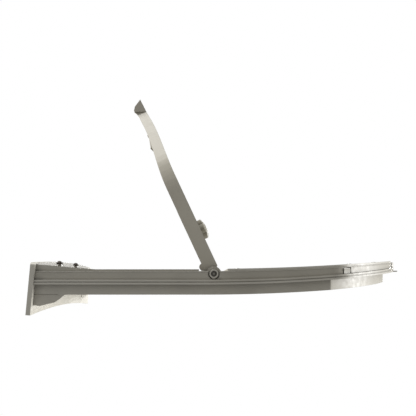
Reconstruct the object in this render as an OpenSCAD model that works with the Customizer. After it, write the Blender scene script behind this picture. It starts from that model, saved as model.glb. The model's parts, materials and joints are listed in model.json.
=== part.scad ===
// Moulded hatch cover with a hinged access door.
// X runs from the end plate to the rounded end, Y across, Z up.
// The origin lies on the seat plane, below the front rail, on the centre line.

/* [Cover] */
// Width over the rim flange
cover_w = 360; // [330:2:390]
// Radius of the rounded end, at the flange
end_r = 209; // [200:1:220]
// Place of the rounded end's centre along the cover
end_x = 259; // [250:1:280]
// Height of the side wall above the seat plane
wall_h = 16.1; // [15:0.1:18]
// Thickness of the rim flange
flange_h = 5.7; // [5:0.1:7]
// Depth of the skirt that plugs into the opening
skirt_h = 12.3; // [10:0.1:16]
// How far the skirt stands in from the flange, at the sides
skirt_in = 8; // [6:0.5:10]
// How far the skirt stands in from the flange, at the rounded end
skirt_end_in = 14; // [12:0.5:16]
// Wall thickness of the mouldings
wall_t = 3; // [2.5:0.1:3.2]

/* [Bow] */
// Where the cover starts to curve up
bow_x = 200; // [195:1:205]
// Radius of the flange's and skirt's upward curve
bow_r = 2000; // [1900:50:2600]
// Radius of the deck's upward curve
deck_r = 2600; // [2400:50:3200]

/* [End plate] */
// Thickness of the end plate
plate_t = 5.5; // [5:0.5:6.5]
// Lean of the end plate from vertical
plate_lean = 4.8; // [0:0.2:6]
// Height of the plate's top edge at its ends
plate_top = 26.6; // [25:0.2:26.6]
// Depth of the plate's bottom edge at its ends
plate_bottom = 36.5; // [32:0.5:42]
// Rise of the top edge at the middle of the plate
plate_crown = 4.4; // [3:0.1:4.4]
// Rise of the bottom edge at the middle of the plate
plate_arch = 6.2; // [3:0.1:7]

/* [Door] */
// Hinge axis, along the cover
hinge_x = 210; // [208:1:212]
// Hinge axis, above the seat plane
hinge_z = 12.9; // [12:0.1:14]
// Angle of the door above the cover's rear half, as it stands open
door_open = 115; // [100:1:130]
// Half the door's width
door_half = 169; // [160:0.5:169]
// Where the door's side walls start to curve in
door_curve_u = 112; // [100:1:125]
// Radius of that curve
door_curve_r = 103; // [90:1:120]
// How far that curve turns
door_curve_deg = 28; // [16:4:28]
// Thickness of the door's outer skin
skin_t = 2.2; // [1.8:0.1:2.6]

/* [Knob] */
// Distance of the knob from the hinge axis
knob_u = 67.5; // [60:0.5:75]
// Diameter over the knob's lobes
knob_d = 31; // [28:0.5:34]
// Height of the knob
knob_h = 11.6; // [10:0.1:13]
// Number of lobes
knob_lobes = 6; // [5:1:7]

/* [Fasteners] */
// Diameter of the hinge screws
hinge_d = 4.9; // [4.5:0.1:5]
// Diameter of the plate's fixing holes
fix_d = 5.2; // [4.5:0.1:6]
// Distance between the plate's fixing holes
fix_span = 240; // [200:10:280]
// Height of the plate's fixing holes, below the seat plane
fix_drop = 21; // [19:0.5:23]

/* [Hidden] */
$fn = 96;

bow_step = 14;            // chords of the bow curves
edge_fn = 1440;           // facets of the end plate's very large circles
far = 600;                // longer than the cover
half_w = cover_w / 2;
wall_in = 3;              // the side wall stands in from the flange's edge
front_x = -6;             // inner face of the end plate, at the seat plane
rail_w = 12;              // width of the front rail
deck_t = 2.8;             // thickness of the deck's skin
deck_x = 227;             // front edge of the rear deck
deck_edge = 3.2;          // the deck stands in from the flange's edge
corner_r = 34;            // plan radius where the side meets the rounded end
inner_rim_t = 3;
inner_rim_out = half_w - wall_in - wall_t;
inner_rim_in = inner_rim_out - inner_rim_t;
inner_rim_h = 18.3;       // top of the inner rim, along the door's rear part
ramp_x = 67;              // where the inner rim starts to climb to the plate
ramp_h = 24.4;            // top of the inner rim at the plate
inner_rim_end = 192;
seat_in = 148;            // inner edge of the door's seat
seat_drop = 1.6;          // room for the gasket, below the closed door
seat_t = 2.5;
door_shut = 174;          // angle of the door, shut
ear_r = 8.5;
ear_in = 160;             // inner face of the door's ears
boss_in = 170.8;          // inner face of the hinge bosses
boss_r = 6.9;
screw_r = hinge_d / 2;
fit_gap = 0.05;           // radial clearance of the running fits
skirt_wall = 2.5;
rail_half = half_w - skirt_in - skirt_wall - 0.1;   // half the front rail's length
rib_t = 2.2;               // ribs, where they are below the deck
rib_at = [-105, -35, 35, 105];
cross_rib_at = [290, 350, 410];
door_start = 7;
lip_u = [227.9, 235.7, 240.7, 246.2];   // the tip lip's heel, inner edge, belly and point
lip_w = [10.2, -4.3, -0.6, 9.6];
lip_arch = 7.2;           // rise of its inner edge at the middle
lip_slope = (lip_u[1] - lip_u[0]) / (lip_w[0] - lip_w[1]);
tip_rib_u = 213;
strike_x = 110;
cam_l = 30;
cam_t = 2;
collar_w = 1.2;
clip_w = 10.5;
clip_h = 7.2;
clip_deg = 57;            // place of the snap clips round the end
plate_face = front_x - plate_t;
bumper_x = -4.2;          // bumpers below the shut door's tip
bumper_y = 54;
bumper_z = plate_top;
gusset_low = 26.5;        // how far the corner gussets reach down
panel_z = [14.5, 17];
panel_us = [140 : 16 : 204];
plate_screw_z = 9;
lug_x = 472.4;            // middle of the rear lug
lug_z = 17.2;
lug_h = 13.8;

// ---- shared outlines ----

// Profile in X and Z, drawn out across the cover
module along_y(w) rotate([90, 0, 0]) linear_extrude(height = w, center = true) children();

// Plan drawn out through the whole height
module upright() translate([0, 0, -60]) linear_extrude(height = 160) children();

// Both sides of the centre line
module both_sides() {
    children();
    mirror([0, 1, 0]) children();
}

// Height of a line that is level at first and then bows up
function bow_rise(x, r) = x < bow_x ? 0 : pow(x - bow_x, 2) / (2 * r);
function bow_line(z0, r) = concat([[-60, z0]],
    [for (x = [bow_x : bow_step : bow_x + 22 * bow_step]) [x, z0 + bow_rise(x, r)]]);

// Layer of the cover between two such lines
module between(z_lo, r_lo, z_hi, r_hi) along_y(2 * far)
    polygon(concat(bow_line(z_lo, r_lo), reverse(bow_line(z_hi, r_hi))));

// Plan of the cover: straight sides, a rounded end, and a fillet where they meet
module plan(side, r, fillet) {
    corner_x = sqrt(pow(r - fillet, 2) - pow(side - fillet, 2));
    corner_a = atan2(side - fillet, corner_x);
    translate([-20, -side]) square([end_x + corner_x + 20, 2 * side]);
    for (s = [-1, 1]) translate([end_x + corner_x, s * (side - fillet)]) circle(fillet);
    translate([end_x, 0]) intersection() {
        circle(r, $fn = 360);
        polygon([[0, 0], for (s = [1, -1]) far * [cos(corner_a), s * sin(corner_a)]]);
    }
}
// The same plan, stood in from the flange's edge by "side" and "end"
module inset_plan(side, end, fillet) plan(half_w - side, end_r - end, fillet);

// Room that the leaning end plate takes, and everything in front of it
module plate_room() translate([plate_face, 0, 0]) rotate([0, plate_lean, 0])
    translate([plate_t + 0.05 - 60, -far, -90]) cube([60, 2 * far, 180]);
function plate_in(z) = front_x + 0.2 + z * tan(plate_lean);

// ---- door outlines: u runs from the hinge to the tip, w outwards ----

function ease(t) = t <= 0 ? 0 : t >= 1 ? 1 : t * t * (3 - 2 * t);
function outer_w(u) = 8.2 + 3.4 * ease((u - 130) / 72) - 0.06 * max(0, u - 206);
function inner_w(u) = -8.4 + 7.35 * ease((u - 118) / 88) - 0.026 * max(0, u - 206);
function shut_point(u, w) = [hinge_x + u * cos(door_shut) + w * sin(door_shut),
                             hinge_z + u * sin(door_shut) - w * cos(door_shut)];
function reverse(v) = [for (i = [len(v) - 1 : -1 : 0]) v[i]];
door_us = [for (u = [door_start : 7 : 217]) u];
inner_us = concat(door_us, [223, 229]);

module on_door() translate([hinge_x, 0, hinge_z]) rotate([0, -door_open, 0]) rotate([180, 0, 0])
    children();

// Side profile of the door, its outer face lowered by "drop" and its inner face raised by "rise"
module door_profile(drop, rise) polygon(concat(
    [for (u = door_us) [u, outer_w(u) - drop]],
    [[lip_u[0] + lip_slope * drop, lip_w[0] - drop],
     [lip_u[1] - lip_slope * rise, lip_w[1] + rise]],
    reverse([for (u = inner_us) [u, inner_w(u) + rise]])
));

// Half the door's width at u: straight, then curving in, then straight towards the tip
function half_at(u) = let (r = door_curve_r, a = door_curve_deg, end_u = door_curve_u + r * sin(a))
    u < door_curve_u ? door_half
    : u < end_u ? door_half - r * (1 - cos(asin((u - door_curve_u) / r)))
    : door_half - r * (1 - cos(a)) - (u - end_u) * tan(a);

// Plan of the door's side walls, "inset" from their outer faces
function side_line(inset) = concat(
    [[-20, door_half - inset]],
    [for (t = [0 : 4 : door_curve_deg]) let (u = door_curve_u + door_curve_r * sin(t))
        [u, half_at(u) - inset]],
    [[lip_u[3] + 1, half_at(lip_u[3] + 1) - inset]]
);
module door_plan(inset) polygon(concat(
    side_line(inset),
    reverse([for (p = side_line(inset)) [p[0], -p[1]]])
));

// ---- places of the fasteners ----

plate_screw_at = [-150, -90, -30, 30, 90, 150];
deck_screw_at = [
    for (y = [-150, -52, 52, 150]) [deck_x + 12, y],
    for (a = [-48, -16, 16, 48]) [end_x + (end_r - 26) * cos(a), (end_r - 26) * sin(a)]
];
lug_screw_y = 10;
lug_screw_z = 26.7;

// Pan-head screw, its head's underside at z = 0
module screw(shank_r, head_r, head_h, length) difference() {
    union() {
        cylinder(r = head_r, h = head_h * 0.6);
        translate([0, 0, head_h * 0.6]) cylinder(r1 = head_r, r2 = head_r * 0.72, h = head_h * 0.4);
        translate([0, 0, -length]) cylinder(r = shank_r, h = length + 0.1);
    }
    for (a = [0, 90]) rotate([0, 0, a]) translate([0, 0, head_h])
        cube([head_r * 1.1, 0.8, head_h], center = true);
}

// The frame for a snap clip: x outwards, y along the wall, z up from the flange
module at_clip() {
    x = end_x + end_r * cos(clip_deg);
    translate([end_x, 0, flange_h + bow_rise(x, bow_r)]) rotate([0, 0, -clip_deg])
        translate([end_r - wall_in - wall_t / 2, 0, 0]) children();
}

// The frame for a hinge: z outwards along the hinge axis, from the centre line
module at_hinge() translate([hinge_x, 0, hinge_z]) rotate([90, 0, 0]) children();

// ---- cover ----

module rim_frame() color([0.50, 0.49, 0.44]) difference() {
    union() {
        // flange, with a shallow groove round its edge
        difference() {
            intersection() {
                upright() difference() {
                    inset_plan(0, 0, corner_r);
                    inset_plan(skirt_in + skirt_wall, skirt_end_in + skirt_wall, 3);
                }
                between(0, bow_r, flange_h, bow_r);
            }
            intersection() {
                upright() difference() {
                    inset_plan(-2, -2, corner_r);
                    inset_plan(0.7, 0.7, corner_r);
                }
                between(2.3, bow_r, 3.5, bow_r);
            }
        }
        // side wall
        intersection() {
            upright() difference() {
                inset_plan(wall_in, wall_in, corner_r);
                inset_plan(wall_in + wall_t, wall_in + wall_t, corner_r - wall_t);
            }
            between(1, bow_r, wall_h, deck_r);
        }
        // bead along the top of the wall
        intersection() {
            upright() difference() {
                inset_plan(wall_in - 0.6, wall_in - 0.6, corner_r);
                inset_plan(wall_in + 1, wall_in + 1, corner_r - 1);
            }
            between(wall_h - 1, deck_r, wall_h, deck_r);
        }
        // skirt
        intersection() {
            upright() difference() {
                inset_plan(skirt_in, skirt_end_in, 3);
                inset_plan(skirt_in + skirt_wall, skirt_end_in + skirt_wall, 3);
            }
            between(-skirt_h, bow_r, 2, bow_r);
        }
    }
    plate_room();
    gasket_ring(0, 1);
    // seats of the hinge bosses
    at_hinge() cylinder(r = boss_r + 0.1, h = 2 * half_w, center = true);
    // windows of the snap clips
    both_sides() at_clip() translate([-1, -clip_w / 2 - 1, 0]) {
        cube([10, clip_w + 2, clip_h + 0.4]);
        translate([0, 0, -3.2]) cube([3.2, clip_w + 2, 4]);
    }
    lug_screw_holes();
}

module lug_screw_holes() for (s = [-1, 1])
    translate([lug_x, s * lug_screw_y, lug_screw_z]) rotate([0, -90, 0])
        cylinder(r = 1.75, h = 20);

// Strip in the flange's underside, as thick as the gasket once it is squeezed
module gasket_ring(slack, below) intersection() {
    upright() difference() {
        inset_plan(3.5 + slack, 3.5 + slack, corner_r - 3.5);
        inset_plan(skirt_in - 0.5 - slack, skirt_end_in - 4 - slack, 10);
    }
    between(-below, bow_r, 1.4 - slack, bow_r);
}

// Rim round the throat, climbing to the end plate
module inner_rim() color([0.42, 0.41, 0.37]) both_sides()
    translate([0, -(inner_rim_out + inner_rim_in) / 2, 0]) along_y(inner_rim_t) polygon([
        [plate_in(flange_h), flange_h], [plate_in(ramp_h), ramp_h], [ramp_x, inner_rim_h],
        [inner_rim_end, inner_rim_h], [inner_rim_end, flange_h]
    ]);

// Rails that the shut door rests on, and the wall below them
seat_us = [for (u = [28 : 12 : 124]) u];
function seat_line(d) = [for (u = seat_us) shut_point(u, inner_w(u) - seat_drop - d)];
module door_seat() color([0.46, 0.45, 0.41]) both_sides() {
    ends = [seat_line(0)[len(seat_us) - 1][0], seat_line(0)[0][0]];
    difference() {
        translate([0, -(seat_in + inner_rim_in) / 2, 0]) along_y(inner_rim_in - seat_in)
            polygon(concat(seat_line(0), reverse(seat_line(seat_t))));
        // clear of the skirt and the flange
        translate([0, -half_w, -20]) cube([far, half_w - rail_half, 20.05 + flange_h]);
    }
    translate([0, -seat_in - 1.5, 0]) along_y(3)
        polygon(concat(seat_line(1), [for (x = ends) [x, -skirt_h + 2]]));
}

// Rail across the front, which the end plate is screwed to
module front_rail() color([0.46, 0.45, 0.41]) difference() {
    union() {
        translate([front_x + 0.4, -rail_half, 0]) cube([rail_w - 0.4, 2 * rail_half, 3]);
        translate([front_x + rail_w - 3, -rail_half, 0]) cube([3, 2 * rail_half, 18]);
        for (y = [-120, -60, 0, 60, 120]) translate([front_x + 1.4, y - 1.2, 0])
            cube([rail_w - 2, 2.4, 13]);
        for (y = plate_screw_at) translate([front_x + 1.2, y, plate_screw_z]) rotate([0, 90, 0])
            cylinder(r = 4.4, h = rail_w - 2);
    }
    for (y = plate_screw_at) translate([front_x - 1, y, plate_screw_z]) rotate([0, 90, 0])
        cylinder(r = 1.75, h = 40);
}

module rear_deck() color([0.55, 0.54, 0.49]) {
    difference() {
        intersection() {
            upright() difference() {
                inset_plan(deck_edge, deck_edge, corner_r);
                translate([-50, -half_w]) square([50 + deck_x, cover_w]);
            }
            between(wall_h, deck_r, wall_h + deck_t, deck_r);
        }
        // shallow panel pressed into the deck
        intersection() {
            upright() difference() {
                inset_plan(38, 38, 20);
                translate([-50, -half_w]) square([74 + deck_x, cover_w]);
            }
            between(wall_h + deck_t - 0.9, deck_r, 80, deck_r);
        }
        for (p = deck_screw_at) translate([p[0], p[1], 0]) {
            cylinder(r = 2.1, h = 60);
            translate([0, 0, deck_seat(p)]) cylinder(r = 3.9, h = 20);
        }
    }
    // bulkhead across the cover, behind the hinge
    translate([deck_x, -half_w + skirt_in + 4, -skirt_h + 2])
        cube([3, cover_w - 2 * skirt_in - 8, skirt_h + wall_h - 1.2]);
}
function deck_seat(p) = wall_h + deck_t + bow_rise(p[0], deck_r) - 1.2;

// What fits between the skirt's walls, below the deck
module under_deck() intersection() {
    upright() difference() {
        intersection() {
            inset_plan(skirt_in + 3, skirt_end_in + 3, 3);
            children();
        }
        translate([-50, -half_w]) square([53.2 + deck_x, cover_w]);
    }
    between(3, bow_r, wall_h - 0.05, deck_r);
}

// Long ribs below the deck
module deck_ribs() color([0.46, 0.45, 0.41]) under_deck()
    for (y = rib_at) translate([0, y - rib_t / 2]) square([far, rib_t]);

// Short ribs across the cover, between the long ones
module cross_ribs() color([0.46, 0.45, 0.41]) under_deck() difference() {
    for (x = cross_rib_at) translate([x - rib_t / 2, -half_w]) square([rib_t, cover_w]);
    for (y = rib_at) translate([0, y - rib_t / 2]) square([far, rib_t]);
}

// Posts that the deck's screws go into
module screw_posts() color([0.46, 0.45, 0.41]) under_deck() difference() {
    for (p = deck_screw_at) translate(p) circle(4.6);
    for (p = deck_screw_at) translate(p) circle(1.75);
}

module deck_screws() color([0.62, 0.62, 0.62]) for (p = deck_screw_at)
    translate([p[0], p[1], deck_seat(p)]) screw(1.7, 3.6, 2, 11);

// Bridge across the throat that carries the latch's strike
module cross_rail() color([0.46, 0.45, 0.41]) {
    top_z = 7.7;
    translate([strike_x - 12, -seat_in, top_z - 18]) cube([2.5, 2 * seat_in, 16]);
    translate([strike_x - 12, -seat_in, top_z - 2.5]) cube([14, 2 * seat_in, 2.5]);
    for (y = [-120 : 40 : 120]) translate([strike_x - 11, y - 1.1, top_z - 14])
        cube([11, 2.2, 12]);
}

// Hook on the bridge that the latch cam turns under
module latch_strike() color([0.70, 0.70, 0.70]) {
    translate([strike_x - 11, -16, 7.7]) cube([12, 32, 1.5]);
    translate([strike_x - 1, -12, 7.7]) cube([1.5, 24, 13]);
    translate([strike_x - 1, -12, 19.5]) cube([9.5, 24, 1.2]);
}

// Panels that fill the throat's front corners, where the door curves in
module corner_panel() color([0.50, 0.49, 0.44]) translate([0, 0, panel_z[0]])
    linear_extrude(height = panel_z[1] - panel_z[0]) {
        edge = [for (u = panel_us) [shut_point(u, inner_w(u))[0], -half_at(u) - 2.5]];
        polygon(concat(edge, [
            [edge[len(edge) - 1][0], -inner_rim_in + 0.05], [edge[0][0], -inner_rim_in + 0.05]
        ]));
    }
module corner_panel_right() corner_panel();
module corner_panel_left() mirror([0, 1, 0]) corner_panel();

// Crowned, leaning plate that closes the front of the cover
module end_plate() color([0.55, 0.54, 0.50]) {
    top_r = (pow(half_w, 2) + pow(plate_crown, 2)) / (2 * plate_crown);
    bottom_r = (pow(half_w, 2) + pow(plate_arch, 2)) / (2 * plate_arch);
    // pads below the bumpers
    for (s = [-1, 1]) translate([front_x, s * bumper_y - 4.6, bumper_z - 6]) cube([5.2, 9.2, 6]);
    difference() {
        translate([plate_face, 0, 0]) rotate([0, plate_lean, 0]) rotate([90, 0, 90])
            linear_extrude(height = plate_t) difference() {
                intersection() {
                    translate([-half_w - 1, -80]) square([cover_w + 2, 160]);
                    translate([0, plate_top + plate_crown - top_r]) circle(top_r, $fn = edge_fn);
                }
                translate([0, -plate_bottom + plate_arch - bottom_r]) circle(bottom_r, $fn = edge_fn);
                // rounded top corners
                for (s = [-1, 1]) difference() {
                    translate([s * (half_w + 1), plate_top]) square(7.2, center = true);
                    translate([s * (half_w - 2.6), plate_top - 3.6]) circle(3.6);
                }
            }
        // fixing holes
        for (s = [-1, 1]) translate([0, s * fix_span / 2, -fix_drop]) rotate([0, 90, 0])
            cylinder(r = fix_d / 2, h = 60, center = true);
        // screw holes, with a flat seat for each head
        for (y = plate_screw_at) translate([plate_face, y, plate_screw_z]) rotate([0, 90, 0]) {
            cylinder(r = 2.1, h = 20);
            translate([0, 0, -8]) cylinder(r = 4, h = 10);
        }
        // shelves of the bumpers
        for (s = [-1, 1]) translate([bumper_x - 3.8, s * bumper_y - 20, bumper_z])
            cube([20, 40, 20]);
    }
}

module plate_screws() color([0.62, 0.62, 0.62]) for (y = plate_screw_at)
    translate([plate_face + 2, y, plate_screw_z]) rotate([0, -90, 0]) screw(1.7, 3.6, 2, 15);

// Deeper part of the skirt beside the end plate, down to "low"
module corner_gusset(low) color([0.44, 0.43, 0.39]) difference() {
    skirt_out = half_w - skirt_in;
    union() {
        translate([0, -skirt_out + skirt_wall / 2, 0]) along_y(skirt_wall) difference() {
            polygon([
                [front_x - 4, -skirt_h], [30, -skirt_h], [24.5, -17], [18, -21.5], [-0.5, -26],
                [front_x - 4, -24.5]
            ]);
            // hollow curve between the lug and the skirt
            translate([32.5, -19.5]) circle(6);
        }
        // bead along its top
        translate([front_x - 4, -skirt_out, -skirt_h - 0.9]) rotate([0, 90, 0])
            cylinder(r = 0.85, h = 32);
        // lap inside the skirt
        translate([front_x + rail_w + 0.5, -skirt_out + skirt_wall, -20]) cube([13, 2, 18]);
    }
    plate_room();
    translate([-far / 2, -far, -low - 50]) cube([far, 2 * far, 50]);
}
module corner_gusset_right() corner_gusset(gusset_low);
module corner_gusset_left() mirror([0, 1, 0]) corner_gusset(gusset_low - 6.3);

// Round boss in the side wall, with a raised ring and a stem down to the flange
module hinge_boss() color([0.56, 0.55, 0.50]) at_hinge() difference() {
    union() {
        translate([0, 0, boss_in]) cylinder(r = 9, h = inner_rim_out - 0.1 - boss_in);
        translate([0, 0, boss_in]) cylinder(r = 5.4, h = 8);
        translate([0, 0, boss_in]) linear_extrude(height = 7.4)
            polygon([[-3.6, -4], [-0.9, -boss_r], [0.9, -boss_r], [3.6, -4]]);
    }
    cylinder(r = screw_r + fit_gap, h = half_w + 10);
    translate([0, 0, boss_in + 1.8]) cylinder(r = 3.6, h = 20);
    // flat below, clear of the flange
    translate([-10, -10 - boss_r + 0.05, boss_in - 1]) cube([20, 10, 30]);
}
module hinge_boss_right() hinge_boss();
module hinge_boss_left() mirror([0, 1, 0]) hinge_boss();

// Screw that the door turns on
module hinge_screw() color([0.60, 0.60, 0.58]) at_hinge() {
    translate([0, 0, ear_in - 4.5]) cylinder(r = screw_r, h = boss_in + 1.85 - ear_in + 4.5);
    translate([0, 0, boss_in + 1.8]) cylinder(r = 3.3, h = 1.2);
    translate([0, 0, boss_in + 2.9]) cylinder(r = 1.3, h = 3.2);
}
module hinge_screw_right() hinge_screw();
module hinge_screw_left() mirror([0, 1, 0]) hinge_screw();

module hinge_nuts() color([0.60, 0.60, 0.58]) both_sides() at_hinge()
    translate([0, 0, ear_in - 4]) difference() {
        cylinder(r = 4.6, h = 3.6, $fn = 6);
        translate([0, 0, -1]) cylinder(r = screw_r + 0.02, h = 6);
    }

// Two rubber domes behind the end plate's top edge
module bumpers() color([0.20, 0.17, 0.14]) for (s = [-1, 1])
    translate([bumper_x, s * bumper_y, bumper_z]) intersection() {
        cylinder(r = 3.7, h = 6);
        translate([0, 0, 1.3]) sphere(r = 4);
    }

// Springy tongue with a barb, in its window above the flange
module snap_clip() color([0.50, 0.49, 0.44]) at_clip() difference() {
    union() {
        translate([-0.9, -clip_w / 2, -3.2]) cube([2, clip_w, clip_h + 2.6]);
        translate([-0.9, 0, 0]) along_y(clip_w) polygon([
            [1.9, clip_h - 1.6], [2.6, clip_h - 2.6], [1.9, clip_h - 5]
        ]);
    }
    translate([-5, 0, -1.4]) rotate([0, 90, 0]) cylinder(r = 0.8, h = 10);
}
module snap_clip_right() snap_clip();
module snap_clip_left() mirror([0, 1, 0]) snap_clip();

// Lug at the rounded end, with an upright hole and a foot
module rear_lug() color([0.72, 0.71, 0.67]) difference() {
    union() {
        translate([lug_x, 0, lug_z]) cylinder(r = 4.4, h = lug_h);
        translate([lug_x, -7, lug_z]) cube([8.2, 14, 1.6]);
        translate([lug_x - 12, -14, lug_screw_z - 2.7]) cube([10, 28, 5.4]);
    }
    upright() inset_plan(-0.05, -0.05, corner_r);
    translate([lug_x, 0, lug_z - 1]) cylinder(r = 2.1, h = 40);
    lug_screw_holes();
}

module lug_screws() color([0.62, 0.62, 0.62]) for (s = [-1, 1])
    translate([lug_x - 2, s * lug_screw_y, lug_screw_z]) rotate([0, 90, 0])
        screw(1.7, 2.6, 1.6, 9);

module rim_gasket() color([0.16, 0.15, 0.14]) difference() {
    gasket_ring(0.05, 0);
    plate_room();
}

module door_gasket() color([0.16, 0.15, 0.14]) both_sides()
    translate([0, -half_w + 16, 0]) along_y(7)
        polygon(concat(seat_line(-1.2), reverse(seat_line(0))));

// ---- door ----

module door_shell() color([0.54, 0.53, 0.48]) on_door() difference() {
    union() {
        // outer skin
        intersection() {
            along_y(2 * half_w) polygon(concat(
                [for (u = door_us) [u, outer_w(u)]],
                [[lip_u[0], lip_w[0]], [lip_u[0] + lip_slope * skin_t, lip_w[0] - skin_t]],
                reverse([for (u = door_us) [u, outer_w(u) - skin_t]])
            ));
            translate([0, 0, -30]) linear_extrude(height = 60) door_plan(0);
        }
        // side walls, curving in towards the tip
        intersection() {
            along_y(2 * half_w) door_profile(skin_t - 0.05, 0);
            translate([0, 0, -30]) linear_extrude(height = 60) difference() {
                door_plan(0);
                door_plan(skirt_wall);
            }
        }
        // heel wall and rolled foot
        translate([door_start, -door_half, -9.3]) cube([2.5, 2 * door_half, 15.5]);
        translate([13.2, 0, -8.6]) along_y(2 * door_half) circle(4.4);
        // ears round the hinge screws
        both_sides() translate([0, -(ear_in + door_half) / 2, 0]) along_y(door_half - ear_in) {
            circle(ear_r);
            polygon([[0, -7.5], [14, -9.3], [14, 6], [4, 7.5], [0, ear_r]]);
        }
        // boss for the knob's spindle
        translate([knob_u, 0, 0.3]) cylinder(r = 8, h = 6);
    }
    rotate([90, 0, 0]) cylinder(r = 4, h = cover_w, center = true);
    translate([knob_u, 0, -20]) cylinder(r = 4, h = 40);
}

// What fits inside the door
module in_door() on_door() intersection() {
    along_y(2 * half_w) door_profile(skin_t + 0.02, 6);
    translate([0, 0, -30]) linear_extrude(height = 60) intersection() {
        door_plan(skirt_wall + 0.1);
        children();
    }
}
module along_ribs() for (y = [-112, -56, 56, 112]) translate([22, y - rib_t / 2])
    square([182, rib_t]);

// Ribs inside the door, from the heel to the tip
module door_ribs() color([0.46, 0.45, 0.41]) in_door() along_ribs();

// Short ribs between them, across the door
module door_cross_ribs() color([0.46, 0.45, 0.41]) in_door() difference() {
    for (u = [34, 150]) translate([u - rib_t / 2, -half_w]) square([rib_t, cover_w]);
    along_ribs();
}

// Short ribs above the bumpers, which stop the door if it is slammed
module tip_ribs() color([0.46, 0.45, 0.41]) on_door() intersection() {
    along_y(2 * half_w) door_profile(skin_t + 0.02, 0);
    for (s = [-1, 1]) translate([tip_rib_u, s * bumper_y - 4, -30]) cube([rib_t, 8, 60]);
}

// Bevelled lip across the door's tip, which overhangs the end plate as a pull grip
module tip_lip() color([0.57, 0.56, 0.51]) on_door() {
    half = half_at(lip_u[0]);
    arch_r = (pow(half, 2) + pow(lip_arch, 2)) / (2 * lip_arch);
    difference() {
        along_y(2 * half) polygon([for (i = [0 : 3]) [lip_u[i] + 0.02, lip_w[i]]]);
        translate([lip_u[0], 0, lip_w[1] + lip_arch - arch_r]) rotate([0, 90, 0])
            cylinder(r = arch_r, h = 60, $fn = edge_fn);
    }
}

module ear_bush() color([0.82, 0.81, 0.76]) at_hinge() translate([0, 0, ear_in]) difference() {
    cylinder(r = 3.98, h = door_half - ear_in);
    translate([0, 0, -1]) cylinder(r = screw_r + fit_gap, h = 20);
}
module ear_bush_right() ear_bush();
module ear_bush_left() mirror([0, 1, 0]) ear_bush();

module friction_washers() color([0.60, 0.60, 0.58]) both_sides() at_hinge()
    translate([0, 0, door_half + 0.15]) difference() {
        cylinder(r = 6.2, h = 0.9);
        translate([0, 0, -1]) cylinder(r = screw_r + 0.15, h = 5);
    }

// ---- knob and latch ----

module at_knob() on_door() translate([knob_u, 0, outer_w(knob_u)]) children();

module knob_collar() color([0.50, 0.49, 0.44]) at_knob() difference() {
    cylinder(r = 12.5, h = collar_w);
    translate([0, 0, -1]) cylinder(r = 4.3, h = 5);
}

// Domed knob with round lobes
module knob() color([0.52, 0.51, 0.46]) at_knob() translate([0, 0, collar_w + 0.2]) difference() {
    lobe_r = knob_d * 0.26;
    intersection() {
        union() {
            cylinder(r = knob_d * 0.4, h = knob_h);
            for (i = [0 : knob_lobes - 1]) rotate([0, 0, (i + 0.5) * 360 / knob_lobes])
                translate([knob_d / 2 - lobe_r, 0, 0]) cylinder(r = lobe_r, h = knob_h);
        }
        translate([0, 0, knob_h - knob_d]) sphere(r = knob_d, $fn = 180);
    }
    translate([0, 0, -1]) cylinder(r = 4, h = knob_h * 0.6);
}

module knob_spindle() color([0.62, 0.62, 0.62]) at_knob() translate([0, 0, -16.4])
    cylinder(r = 3.95, h = 16.4 + collar_w + knob_h * 0.5);

module knob_washer() color([0.62, 0.62, 0.62]) at_knob() translate([0, 0, -8.95]) difference() {
    cylinder(r = 7.6, h = 1);
    translate([0, 0, -1]) cylinder(r = 4, h = 5);
}

module latch_cam() color([0.70, 0.70, 0.70]) at_knob() translate([0, 0, -14]) difference() {
    union() {
        cylinder(r = 7, h = cam_t);
        translate([-5, 0, 0]) cube([10, cam_l - 5, cam_t]);
        translate([0, cam_l - 5, 0]) cylinder(r = 5, h = cam_t);
    }
    translate([0, 0, -1]) cylinder(r = 4, h = 5);
}

module cam_nut() color([0.62, 0.62, 0.62]) at_knob() translate([0, 0, -16.5]) difference() {
    cylinder(r = 7, h = 2.5, $fn = 6);
    translate([0, 0, -1]) cylinder(r = 4, h = 6);
}

rim_frame();
inner_rim();
door_seat();
front_rail();
rear_deck();
deck_ribs();
cross_ribs();
screw_posts();
cross_rail();
latch_strike();
corner_panel_right();
corner_panel_left();
end_plate();
corner_gusset_right();
corner_gusset_left();
hinge_boss_right();
hinge_boss_left();
hinge_screw_right();
hinge_screw_left();
hinge_nuts();
plate_screws();
deck_screws();
bumpers();
snap_clip_right();
snap_clip_left();
rear_lug();
lug_screws();
rim_gasket();
door_gasket();
door_shell();
door_ribs();
door_cross_ribs();
tip_ribs();
tip_lip();
ear_bush_right();
ear_bush_left();
friction_washers();
knob_collar();
knob();
knob_spindle();
knob_washer();
latch_cam();
cam_nut();
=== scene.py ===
import json
import math

import bpy
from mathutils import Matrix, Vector


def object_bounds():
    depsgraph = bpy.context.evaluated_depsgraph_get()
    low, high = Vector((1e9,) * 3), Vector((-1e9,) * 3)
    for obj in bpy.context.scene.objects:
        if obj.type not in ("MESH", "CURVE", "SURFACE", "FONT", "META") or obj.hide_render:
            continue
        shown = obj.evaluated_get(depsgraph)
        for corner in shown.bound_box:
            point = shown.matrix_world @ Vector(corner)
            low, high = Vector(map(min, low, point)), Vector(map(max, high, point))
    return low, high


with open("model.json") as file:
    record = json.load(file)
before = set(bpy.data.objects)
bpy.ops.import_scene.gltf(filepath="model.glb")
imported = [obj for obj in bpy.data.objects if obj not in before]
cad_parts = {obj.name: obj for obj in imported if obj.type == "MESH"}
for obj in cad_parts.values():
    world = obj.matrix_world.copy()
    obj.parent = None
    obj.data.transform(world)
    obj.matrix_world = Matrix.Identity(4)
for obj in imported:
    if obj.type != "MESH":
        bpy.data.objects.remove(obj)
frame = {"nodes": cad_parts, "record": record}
cad_low, cad_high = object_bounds()
scene = bpy.context.scene
nodes = frame["nodes"]
slot_of = {s["node"]: s["material_slot"] for s in frame["record"]["subparts"]}

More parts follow.
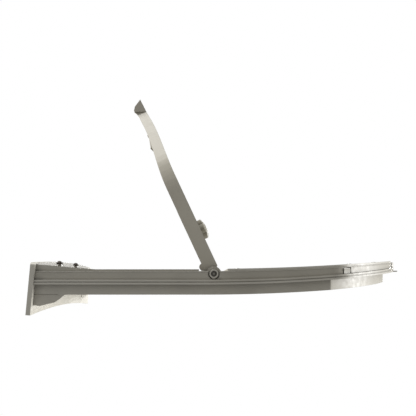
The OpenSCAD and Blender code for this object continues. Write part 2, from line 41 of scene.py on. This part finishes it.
# Lengths are in metres and angles in degrees. A noise scale is per metre. A span is the stretch of
# a 0 to 1 factor over which an effect comes in, and a strength is how far it goes.

# Uneven colour
cloud_scale = 22
cloud_span = (0.3, 0.7)

# Paler streaks along the part's length
streak_scale = 60
streak_stretch = (0.15, 1, 1)
streak_span = (0.52, 0.8)
streak_strength = 0.35

# Paler worn edges
wear_span = (0.53, 0.62)
wear_strength = 0.55

# Painted shade: darker hollows, creases and recesses, where shade falls
painted_shade_reach = 0.012
painted_shade_samples = 8
painted_shade_span = (0.25, 0.9)
painted_shade_strength = 0.5
painted_shade_tone = 0.3  # how bright the painted shade's colour is beside the shade colour that it darkens

# Uneven gloss and fine grain
gloss_scale = 140
gloss_span = (0.3, 0.7)
grain_strength = 0.5
bevel_samples = 4

# Smooth shading that keeps the creases
weld_gap = 0.00001
crease_angle = 22

# Floor and sky
floor_radius = 1.1
floor_height = -0.45
floor_sides = 96
floor_colour = (0.36, 0.36, 0.355)
floor_rough = 0.7
white = (1, 1, 1)
sky_strength = 0.43
backdrop_strength = 1.0

# Camera, fitted to the perspective of the photo
sensor_width = 36  # millimetres
focal_ratio = 1.524038462  # focal length over the picture's width
eye_level_drop = 0.170673077  # from the picture's middle down to eye level, over its width
camera_tilt = 2.2  # upwards
camera_place = (0.2029, -0.938, 0.0066)
near_clip = 0.01


# ---- shader helpers ----

def principled(name):
    """A new material, its node tree and its main shader."""
    material = bpy.data.materials.new(name)
    material.use_nodes = True
    tree = material.node_tree
    return material, tree, tree.nodes["Principled BSDF"]


def ramp(tree, source, span, low, high):
    """Maps a factor from its span to a plain range of values."""
    n = tree.nodes.new("ShaderNodeMapRange")
    n.inputs["From Min"].default_value = span[0]
    n.inputs["From Max"].default_value = span[1]
    n.inputs["To Min"].default_value = low
    n.inputs["To Max"].default_value = high
    tree.links.new(source, n.inputs["Value"])
    return n.outputs["Result"]


def noise(tree, coords, scale, detail, rough=0.5, stretch=None):
    """A 0 to 1 noise over the object's own coordinates."""
    if stretch:
        m = tree.nodes.new("ShaderNodeMapping")
        m.inputs["Scale"].default_value = stretch
        tree.links.new(coords, m.inputs["Vector"])
        coords = m.outputs["Vector"]
    n = tree.nodes.new("ShaderNodeTexNoise")
    n.inputs["Scale"].default_value = scale
    n.inputs["Detail"].default_value = detail
    n.inputs["Roughness"].default_value = rough
    tree.links.new(coords, n.inputs["Vector"])
    return n.outputs["Fac"]


def mix(tree, factor, a, b):
    """Colour a where the factor is 0 and colour b where it is 1."""
    n = tree.nodes.new("ShaderNodeMix")
    n.data_type = "RGBA"
    tree.links.new(factor, n.inputs["Factor"])
    colour_a, colour_b, result = n.inputs[6], n.inputs[7], n.outputs[2]
    for socket, value in ((colour_a, a), (colour_b, b)):
        if isinstance(value, (tuple, list)):
            socket.default_value = (*value, 1)
        else:
            tree.links.new(value, socket)
    return result


# ---- finishes ----

def finish_of(
    name, colour, shade, worn, rough=(0.38, 0.5), grain=900.0, grain_depth=0.00004,
    edge=0.0006, metallic=0.0, specular=0.4, brushed=None,
):
    """A procedural finish: uneven colour, streaks, paler worn edges, painted shade in the hollows,
    uneven gloss and fine grain. edge is the radius of its softened edges; brushed stretches the
    grain."""
    material, tree, shader = principled(name)
    shader.inputs["Metallic"].default_value = metallic
    shader.inputs["Specular IOR Level"].default_value = specular
    coords = tree.nodes.new("ShaderNodeTexCoord").outputs["Object"]

    cloud = ramp(tree, noise(tree, coords, cloud_scale, detail=4), cloud_span, 0, 1)
    base = mix(tree, cloud, colour, shade)

    streak = noise(tree, coords, streak_scale, detail=3, rough=0.6, stretch=streak_stretch)
    base = mix(tree, ramp(tree, streak, streak_span, 0, streak_strength), base, worn)

    point = tree.nodes.new("ShaderNodeNewGeometry").outputs["Pointiness"]
    base = mix(tree, ramp(tree, point, wear_span, 0, wear_strength), base, worn)

    # Painted shade: ambient occlusion darkens the colour in hollows, creases and under overhangs,
    # where shade falls.
    painted_shade_node = tree.nodes.new("ShaderNodeAmbientOcclusion")
    painted_shade_node.samples = painted_shade_samples
    painted_shade_node.inputs["Distance"].default_value = painted_shade_reach
    painted_shade_amount = ramp(tree, painted_shade_node.outputs["AO"], painted_shade_span, painted_shade_strength, 0)
    base = mix(tree, painted_shade_amount, base, [painted_shade_tone * c for c in shade])
    tree.links.new(base, shader.inputs["Base Color"])

    gloss = ramp(tree, noise(tree, coords, gloss_scale, detail=4), gloss_span, *rough)
    tree.links.new(gloss, shader.inputs["Roughness"])

    bump = tree.nodes.new("ShaderNodeBump")
    bump.inputs["Strength"].default_value = grain_strength
    bump.inputs["Distance"].default_value = grain_depth
    fine = noise(tree, coords, grain, detail=2, rough=0.6, stretch=brushed)
    tree.links.new(fine, bump.inputs["Height"])
    if edge:
        soft = tree.nodes.new("ShaderNodeBevel")
        soft.samples = bevel_samples
        soft.inputs["Radius"].default_value = edge
        tree.links.new(soft.outputs["Normal"], bump.inputs["Normal"])
    tree.links.new(bump.outputs["Normal"], shader.inputs["Normal"])
    return material


metal = dict(metallic=1.0, grain=700, grain_depth=0.00001, edge=0.0002, brushed=(1, 8, 1))
looks = {
    "grey_plastic": dict(
        colour=(0.345, 0.325, 0.276), shade=(0.305, 0.288, 0.244), worn=(0.42, 0.405, 0.36),
        rough=(0.42, 0.54), specular=0.34,
    ),
    "inner_plastic": dict(
        colour=(0.30, 0.284, 0.242), shade=(0.265, 0.251, 0.213), worn=(0.38, 0.365, 0.32),
        rough=(0.5, 0.62),
    ),
    "door_plastic": dict(
        colour=(0.315, 0.291, 0.236), shade=(0.280, 0.259, 0.210), worn=(0.38, 0.358, 0.300),
    ),
    "knob_plastic": dict(
        colour=(0.17, 0.16, 0.13), shade=(0.155, 0.146, 0.119), worn=(0.22, 0.21, 0.175),
        rough=(0.62, 0.75), grain_depth=0.00002, specular=0.12, edge=0,
    ),
    "steel": dict(
        colour=(0.62, 0.61, 0.59), shade=(0.5, 0.49, 0.47), worn=(0.78, 0.77, 0.75),
        rough=(0.28, 0.42), **metal,
    ),
    "dark_steel": dict(
        colour=(0.25, 0.24, 0.21), shade=(0.19, 0.18, 0.16), worn=(0.4, 0.38, 0.34),
        rough=(0.35, 0.5), **metal,
    ),
    "rubber": dict(
        colour=(0.060, 0.048, 0.038), shade=(0.048, 0.039, 0.031), worn=(0.11, 0.095, 0.08),
        rough=(0.55, 0.72), grain=500, specular=0.3,
    ),
    "bush_plastic": dict(
        colour=(0.74, 0.73, 0.68), shade=(0.70, 0.69, 0.64), worn=(0.8, 0.79, 0.75),
        rough=(0.4, 0.5), edge=0.0002,
    ),
}
finishes = {name: finish_of(name, **look) for name, look in looks.items()}


# ---- the CAD pieces ----

def dress(piece, slot_name):
    """Gives a CAD piece its finish, and smooth shading up to the creases."""
    piece.data.materials.clear()
    piece.data.materials.append(finishes[slot_name])
    for poly in piece.data.polygons:
        poly.use_smooth = True
    weld = piece.modifiers.new("weld", "WELD")
    weld.merge_threshold = weld_gap
    split = piece.modifiers.new("split", "EDGE_SPLIT")
    split.split_angle = math.radians(crease_angle)


for name, piece in nodes.items():
    dress(piece, slot_of[name])


# ---- floor and sky ----

middle = (cad_low + cad_high) / 2
bpy.ops.mesh.primitive_circle_add(
    vertices=floor_sides, radius=floor_radius, fill_type="NGON",
    location=(middle.x, 0, floor_height),
)
floor = bpy.context.object
floor.name = "floor"
floor_material, _, floor_shader = principled("floor")
floor_shader.inputs["Base Color"].default_value = (*floor_colour, 1)
floor_shader.inputs["Roughness"].default_value = floor_rough
floor.data.materials.append(floor_material)

world = bpy.data.worlds.new("studio")
scene.world = world
world.use_nodes = True
studio = world.node_tree
sky = studio.nodes["Background"]
backdrop = studio.nodes.new("ShaderNodeBackground")
for shader, strength in ((sky, sky_strength), (backdrop, backdrop_strength)):
    shader.inputs["Color"].default_value = (*white, 1)
    shader.inputs["Strength"].default_value = strength

# The camera sees the white backdrop, and the sky lights the part.
path = studio.nodes.new("ShaderNodeLightPath")
pick = studio.nodes.new("ShaderNodeMixShader")
studio.links.new(path.outputs["Is Camera Ray"], pick.inputs["Fac"])
studio.links.new(sky.outputs["Background"], pick.inputs[1])
studio.links.new(backdrop.outputs["Background"], pick.inputs[2])
studio.links.new(pick.outputs["Shader"], studio.nodes["World Output"].inputs["Surface"])


# ---- lights ----

def sun(name, source, strength, width):
    """Soft light that comes from the direction of source and looks width degrees wide."""
    data = bpy.data.lights.new(name, "SUN")
    data.energy = strength
    data.angle = math.radians(width)
    lamp = bpy.data.objects.new(name, data)
    lamp.rotation_mode = "QUATERNION"
    lamp.rotation_quaternion = Vector(source).to_track_quat("Z", "Y")
    scene.collection.objects.link(lamp)


sun("end_light", (1.0, 0.05, 0.0), strength=4.5, width=12)
sun("top_light", (-0.42, 0.0, 0.9), strength=5.3, width=20)
sun("left_light", (-1.0, 0.06, -0.25), strength=3.2, width=20)
sun("back_light", (0.40, 0.90, 0.15), strength=2.3, width=10)


# ---- camera ----

camera = bpy.data.objects.new("camera", bpy.data.cameras.new("camera"))
scene.collection.objects.link(camera)
scene.camera = camera
scene.view_settings.view_transform = "Standard"
tilt = math.radians(camera_tilt)
camera.location = camera_place
camera.rotation_euler = (math.radians(90) + tilt, 0, 0)  # 90 degrees is level
camera.data.sensor_width = sensor_width
camera.data.lens = sensor_width * focal_ratio
camera.data.shift_y = eye_level_drop - focal_ratio * math.tan(tilt)
camera.data.clip_start = near_clip
